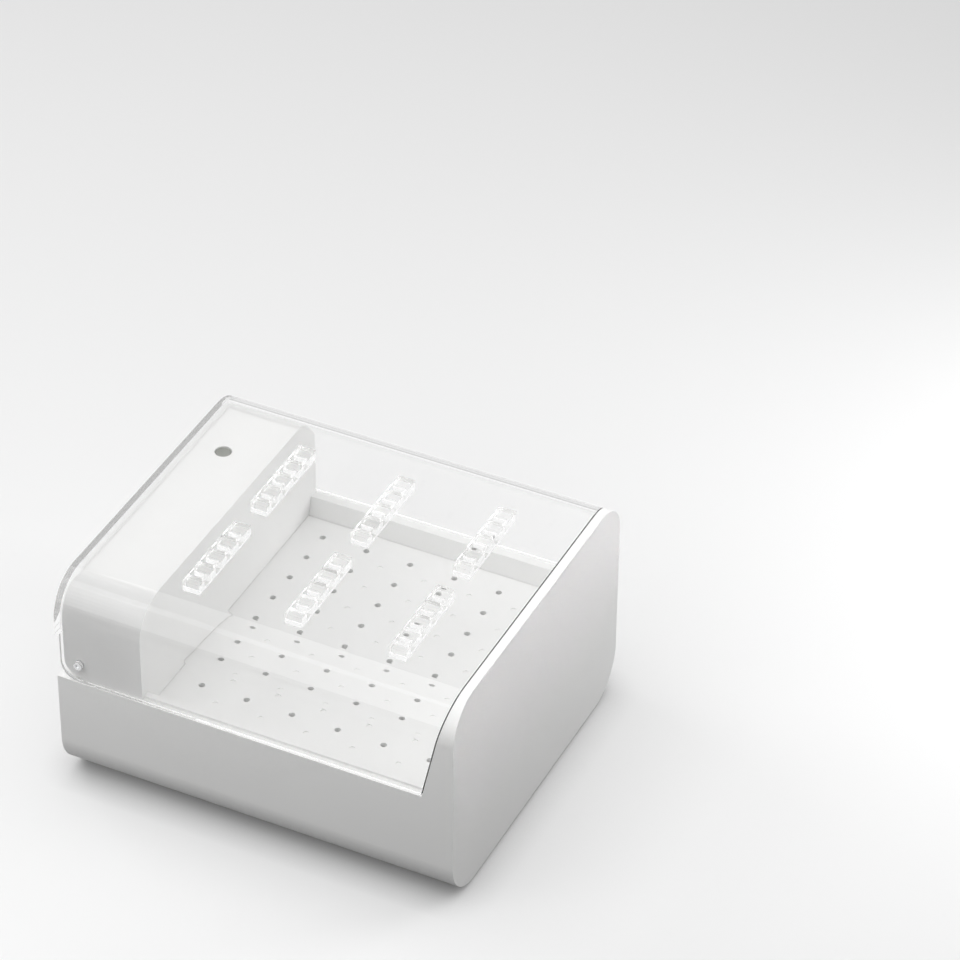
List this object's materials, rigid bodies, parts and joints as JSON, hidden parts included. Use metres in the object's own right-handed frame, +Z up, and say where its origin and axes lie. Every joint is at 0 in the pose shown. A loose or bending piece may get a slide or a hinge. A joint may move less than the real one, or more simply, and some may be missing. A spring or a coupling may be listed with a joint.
{
  "type": "hearing aid dryer",
  "caption": "Hearing aid dryer: white heated base with a tall side wall, control pod with a push button, and a clear wrap-over lid hinged on pins, with comb strips inside.",
  "frame": {"origin": "centre of the bounding box's bottom, on the table under the rubber feet, lid closed", "axes": "+X from the hinge and button side to the tall side wall, +Y from the front to the back with the inlet, +Z up"},
  "size_m": [0.14, 0.122, 0.079],
  "materials": {
    "white_shell": "fine satin",
    "white_tray": "fine satin",
    "white_pod": "fine satin",
    "clear_lid": "polished clear",
    "clear_comb": "polished clear",
    "button_grey": "satin",
    "foot_rubber": "matt",
    "screw_steel": "satin",
    "pin_steel": "satin",
    "switch_steel": "satin",
    "socket_steel": "satin",
    "board_green": "satin solder mask",
    "black_plastic": "matt",
    "can_aluminium": "satin",
    "plate_aluminium": "satin",
    "led_lens": "clear",
    "film_silicone": "matt",
    "ceramic": "matt",
    "lead_red": "satin",
    "lead_black": "satin"
  },
  "bodies": {
    "base": {"base_housing": "white_shell", "bottom_cover": "white_shell", "rubber_feet": "foot_rubber", "bottom_screws": "screw_steel", "perforated_tray": "white_tray", "pod_cover": "white_pod", "pod_screws": "screw_steel", "hinge_pin_front": "pin_steel", "hinge_pin_rear": "pin_steel", "switch_body": "switch_steel", "control_board": "board_green", "control_chip": "black_plastic", "capacitor": "can_aluminium", "status_led": "led_lens", "board_screws": "screw_steel", "inlet_board": "board_green", "usb_socket": "socket_steel", "heater_plate": "plate_aluminium", "heater_film": "film_silicone", "plate_spacers": "ceramic", "plate_screws": "screw_steel", "thermal_cutout": "black_plastic", "temperature_sensor": "ceramic", "heater_leads": "lead_red", "inlet_leads": "lead_black"},
    "lid": {"lid": "clear_lid", "comb_left_front": "clear_comb", "comb_left_rear": "clear_comb", "comb_middle_front": "clear_comb", "comb_middle_rear": "clear_comb", "comb_right_front": "clear_comb", "comb_right_rear": "clear_comb"},
    "button": {"power_button": "button_grey", "switch_plunger": "black_plastic"}
  },
  "joints": [
    {"name": "lid_hinge", "type": "hinge", "parent": "base", "child": "lid", "pos_m": [-0.0623, 0, 0.049], "axis": [0, -1, 0], "range_deg": [0, 90]},
    {"name": "button_press", "type": "slide", "parent": "base", "child": "button", "axis": [0, 0, -1], "range_m": [0, 0.0006], "stiffness_N_per_m": 1500, "springref_m": -0.0003}
  ]
}
